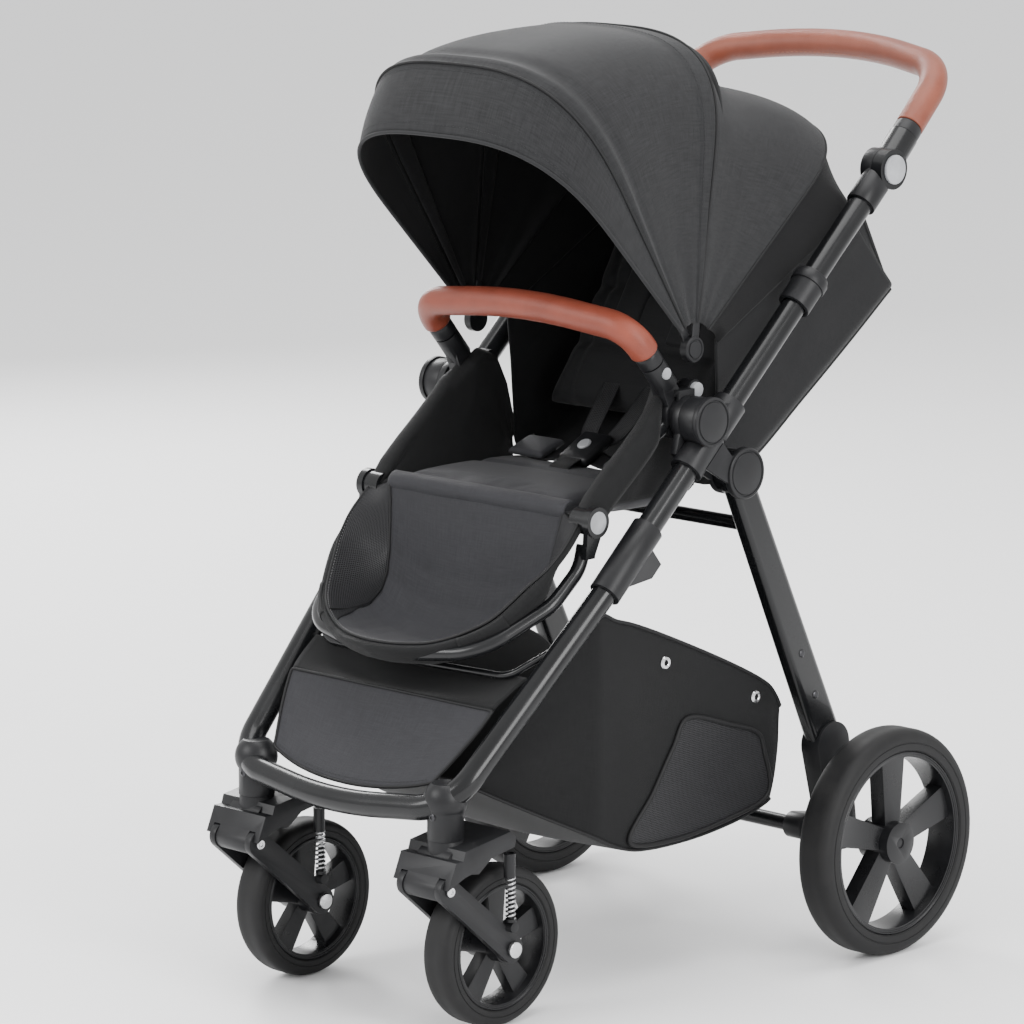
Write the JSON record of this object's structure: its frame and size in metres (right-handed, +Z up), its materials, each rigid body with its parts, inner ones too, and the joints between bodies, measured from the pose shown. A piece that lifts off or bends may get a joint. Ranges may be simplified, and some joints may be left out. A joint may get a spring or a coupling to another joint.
{
  "type": "baby stroller",
  "caption": "Folding baby stroller with a reclining seat, canopy, bumper bar, tilting push handle, swivel sprung front wheels and a storage basket under the seat.",
  "frame": {"origin": "on the floor, under the middle of the stroller's bounding box", "axes": "+X towards the stroller's left side, -Y towards its front, +Z up"},
  "size_m": [0.588, 0.8664, 1.0602],
  "materials": {
    "tube": "satin black powder coat",
    "plastic": "matte black moulding",
    "grey_plastic": "grey satin button",
    "wheel": "semi-gloss black moulding",
    "tyre": "smooth foam-filled tyre",
    "chrome": "plated bolt",
    "spring": "plated spring wire",
    "leather": "tan pebbled leatherette",
    "canopy_cloth": "charcoal heather weave",
    "black_cloth": "black woven cloth",
    "seat_cloth": "dark grey twill",
    "webbing": "black webbing"
  },
  "bodies": {
    "chassis": {"front_frame_tube": "tube", "fold_casting_left": "plastic", "fold_casting_right": "plastic", "stop_brackets": "plastic", "caster_posts": "plastic", "front_apron": "seat_cloth", "leg_rest_wire": "tube", "storage_basket": "black_cloth"},
    "rear_legs": {"rear_leg_left": "tube", "rear_leg_right": "tube", "rear_feet": "plastic", "rear_cross_beam": "tube", "leg_stretcher": "tube"},
    "brake": {"brake_pedal": "plastic"},
    "push_frame": {"push_casting_left": "plastic", "push_casting_right": "plastic", "push_tube_left": "tube", "push_tube_right": "tube", "handle_hub_left": "plastic", "handle_hub_right": "plastic"},
    "handle": {"handle_tube": "tube", "handle_grip": "leather"},
    "seat_unit": {"seat_hub_left": "plastic", "seat_hub_right": "plastic", "seat_frame": "tube", "seat_liner": "seat_cloth"},
    "bumper_bar": {"bumper_core": "tube", "bumper_grip": "leather"},
    "backrest": {"backrest_shell": "black_cloth", "backrest_pad": "seat_cloth", "harness_straps": "webbing", "canopy_rear_panel": "canopy_cloth"},
    "canopy_middle": {"canopy_middle_bow": "tube", "canopy_middle_panel": "canopy_cloth"},
    "canopy_front": {"canopy_front_bow": "tube", "canopy_visor": "canopy_cloth"},
    "leg_rest": {"footrest_rim": "tube", "footrest_liner": "seat_cloth"},
    "caster_left": {"caster_crown_left": "plastic", "caster_springs_left": "spring"},
    "fork_left": {"suspension_arm_left": "plastic", "front_axle_left": "chrome"},
    "front_wheel_left": {"front_wheel_left": "wheel", "front_tyre_left": "tyre"},
    "rear_wheel_left": {"rear_wheel_left": "wheel", "rear_tyre_left": "tyre"},
    "fold_slider_left": {"fold_slider_left": "plastic"},
    "handle_button_left": {"handle_button_left": "grey_plastic"},
    "release_button_left": {"release_button_left": "grey_plastic"},
    "caster_right": {"caster_crown_right": "plastic", "caster_springs_right": "spring"},
    "fork_right": {"suspension_arm_right": "plastic", "front_axle_right": "chrome"},
    "front_wheel_right": {"front_wheel_right": "wheel", "front_tyre_right": "tyre"},
    "rear_wheel_right": {"rear_wheel_right": "wheel", "rear_tyre_right": "tyre"},
    "fold_slider_right": {"fold_slider_right": "plastic"},
    "handle_button_right": {"handle_button_right": "grey_plastic"},
    "release_button_right": {"release_button_right": "grey_plastic"}
  },
  "joints": [
    {"name": "frame_fold", "type": "hinge", "parent": "chassis", "child": "push_frame", "pos_m": [0, -0.04219, 0.636], "axis": [1, 0, 0], "range_deg": [0, 150]},
    {"name": "rear_leg_fold", "type": "hinge", "parent": "chassis", "child": "rear_legs", "pos_m": [0, 0.01481, 0.5715], "axis": [1, 0, 0], "range_deg": [-40, 0], "deforming": ["storage_basket"]},
    {"name": "brake_press", "type": "hinge", "parent": "rear_legs", "child": "brake", "pos_m": [0, 0.12881, 0.147], "axis": [-1, 0, 0], "range_deg": [0, 16]},
    {"name": "handle_tilt", "type": "hinge", "parent": "push_frame", "child": "handle", "pos_m": [0, 0.2677, 0.88699], "axis": [-1, 0, 0], "range_deg": [-40, 40]},
    {"name": "seat_lift", "type": "slide", "parent": "chassis", "child": "seat_unit", "axis": [0, 0, 1], "range_m": [0, 0.08]},
    {"name": "bumper_pull", "type": "slide", "parent": "seat_unit", "child": "bumper_bar", "axis": [0, -0.6402, 0.7682], "range_m": [0, 0.1]},
    {"name": "backrest_recline", "type": "hinge", "parent": "seat_unit", "child": "backrest", "pos_m": [0, -0.04219, 0.636], "axis": [1, 0, 0], "range_deg": [-25, 0]},
    {"name": "canopy_fold", "type": "hinge", "parent": "backrest", "child": "canopy_middle", "pos_m": [0, -0.02419, 0.71], "axis": [1, 0, 0], "range_deg": [-30, 0], "deforming": ["canopy_rear_panel"]},
    {"name": "canopy_front_fold", "type": "hinge", "parent": "canopy_middle", "child": "canopy_front", "pos_m": [0, -0.02419, 0.71], "axis": [1, 0, 0], "range_deg": [-27, 0], "deforming": ["canopy_middle_panel"]},
    {"name": "leg_rest_tilt", "type": "hinge", "parent": "seat_unit", "child": "leg_rest", "pos_m": [0, -0.18719, 0.539], "axis": [-1, 0, 0], "range_deg": [0, 40]},
    {"name": "caster_swivel_left", "type": "hinge", "parent": "chassis", "child": "caster_left", "pos_m": [0.1485, -0.39119, 0.2], "axis": [0, 0, 1], "continuous": true},
    {"name": "suspension_left", "type": "hinge", "parent": "caster_left", "child": "fork_left", "pos_m": [0.1485, -0.41919, 0.172], "axis": [1, 0, 0], "range_deg": [0, 7], "stiffness_Nm_per_rad": 80, "springref_deg": -6.88, "deforming": ["caster_springs_left"]},
    {"name": "front_wheel_spin_left", "type": "hinge", "parent": "fork_left", "child": "front_wheel_left", "pos_m": [0.1485, -0.32219, 0.089], "axis": [1, 0, 0], "continuous": true},
    {"name": "rear_wheel_spin_left", "type": "hinge", "parent": "rear_legs", "child": "rear_wheel_left", "pos_m": [0.271, 0.19281, 0.131], "axis": [1, 0, 0], "continuous": true},
    {"name": "fold_slide_left", "type": "slide", "parent": "push_frame", "child": "fold_slider_left", "axis": [0, 0.7361, 0.6769], "range_m": [0, 0.02], "stiffness_N_per_m": 400, "springref_m": -0.01},
    {"name": "handle_button_press_left", "type": "slide", "parent": "handle", "child": "handle_button_left", "axis": [-1, 0, 0], "range_m": [0, 0.0018], "stiffness_N_per_m": 600, "springref_m": -0.001},
    {"name": "release_press_left", "type": "slide", "parent": "seat_unit", "child": "release_button_left", "axis": [-1, 0, 0], "range_m": [0, 0.003], "stiffness_N_per_m": 600, "springref_m": -0.001},
    {"name": "caster_swivel_right", "type": "hinge", "parent": "chassis", "child": "caster_right", "pos_m": [-0.1485, -0.39119, 0.2], "axis": [0, 0, 1], "continuous": true},
    {"name": "suspension_right", "type": "hinge", "parent": "caster_right", "child": "fork_right", "pos_m": [-0.1485, -0.41919, 0.172], "axis": [1, 0, 0], "range_deg": [0, 7], "stiffness_Nm_per_rad": 80, "springref_deg": -6.88, "deforming": ["caster_springs_right"]},
    {"name": "front_wheel_spin_right", "type": "hinge", "parent": "fork_right", "child": "front_wheel_right", "pos_m": [-0.1485, -0.32219, 0.089], "axis": [1, 0, 0], "continuous": true},
    {"name": "rear_wheel_spin_right", "type": "hinge", "parent": "rear_legs", "child": "rear_wheel_right", "pos_m": [-0.271, 0.19281, 0.131], "axis": [1, 0, 0], "continuous": true},
    {"name": "fold_slide_right", "type": "slide", "parent": "push_frame", "child": "fold_slider_right", "axis": [0, 0.7361, 0.6769], "range_m": [0, 0.02], "stiffness_N_per_m": 400, "springref_m": -0.01},
    {"name": "handle_button_press_right", "type": "slide", "parent": "handle", "child": "handle_button_right", "axis": [1, 0, 0], "range_m": [0, 0.0018], "stiffness_N_per_m": 600, "springref_m": -0.001},
    {"name": "release_press_right", "type": "slide", "parent": "seat_unit", "child": "release_button_right", "axis": [1, 0, 0], "range_m": [0, 0.003], "stiffness_N_per_m": 600, "springref_m": -0.001}
  ],
  "couplings": [
    {"joint": "rear_leg_fold", "follows": "frame_fold", "ratio": -0.26667},
    {"joint": "canopy_front_fold", "follows": "canopy_fold", "ratio": 0.9},
    {"joint": "fold_slide_right", "follows": "fold_slide_left", "ratio": 1}
  ]
}
